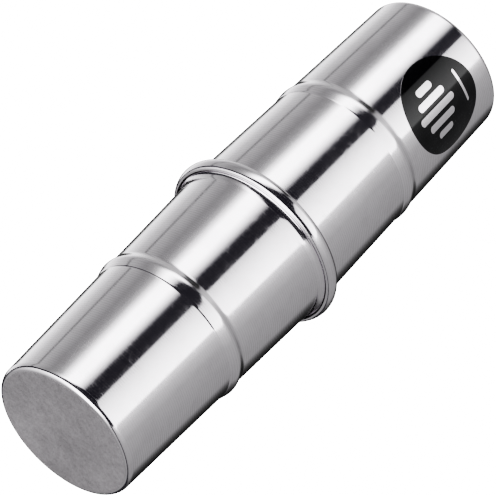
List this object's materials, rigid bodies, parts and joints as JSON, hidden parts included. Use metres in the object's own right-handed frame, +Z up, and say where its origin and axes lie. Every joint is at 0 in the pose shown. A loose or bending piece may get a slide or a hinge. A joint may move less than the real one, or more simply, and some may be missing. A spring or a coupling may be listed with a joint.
{
  "type": "tube shaker",
  "caption": "Hand-held metal tube shaker: tapered aluminium cups seamed mouth to mouth around loose steel shot, with pressed grip beads and flat ends.",
  "frame": {"origin": "middle of the bottom cup's flat end, the face that the shaker stands on", "axes": "+Z up along the axis of the tube; -Y towards the badge"},
  "size_m": [0.0556, 0.0556, 0.1716],
  "materials": {
    "polished_aluminium": "polished sides, satin turned ends",
    "badge_film": "gloss",
    "steel_shot": "bright rolled"
  },
  "bodies": {
    "tube": {"top_cup": "polished_aluminium", "bottom_cup": "polished_aluminium", "badge": "badge_film"},
    "shot_core": {"shot_core": "steel_shot"},
    "shot_1": {"shot_sector_1": "steel_shot"},
    "shot_2": {"shot_sector_2": "steel_shot"},
    "shot_3": {"shot_sector_3": "steel_shot"},
    "shot_4": {"shot_sector_4": "steel_shot"},
    "shot_5": {"shot_sector_5": "steel_shot"},
    "shot_6": {"shot_sector_6": "steel_shot"}
  },
  "joints": [
    {"name": "core_throw", "type": "slide", "parent": "tube", "child": "shot_core", "axis": [0, 0, 1], "range_m": [0, 0.1649]},
    {"name": "throw_1", "type": "slide", "parent": "tube", "child": "shot_1", "axis": [0, 0, 1], "range_m": [0, 0.1649]},
    {"name": "throw_2", "type": "slide", "parent": "tube", "child": "shot_2", "axis": [0, 0, 1], "range_m": [0, 0.1649]},
    {"name": "throw_3", "type": "slide", "parent": "tube", "child": "shot_3", "axis": [0, 0, 1], "range_m": [0, 0.1649]},
    {"name": "throw_4", "type": "slide", "parent": "tube", "child": "shot_4", "axis": [0, 0, 1], "range_m": [0, 0.1649]},
    {"name": "throw_5", "type": "slide", "parent": "tube", "child": "shot_5", "axis": [0, 0, 1], "range_m": [0, 0.1649]},
    {"name": "throw_6", "type": "slide", "parent": "tube", "child": "shot_6", "axis": [0, 0, 1], "range_m": [0, 0.1649]}
  ]
}
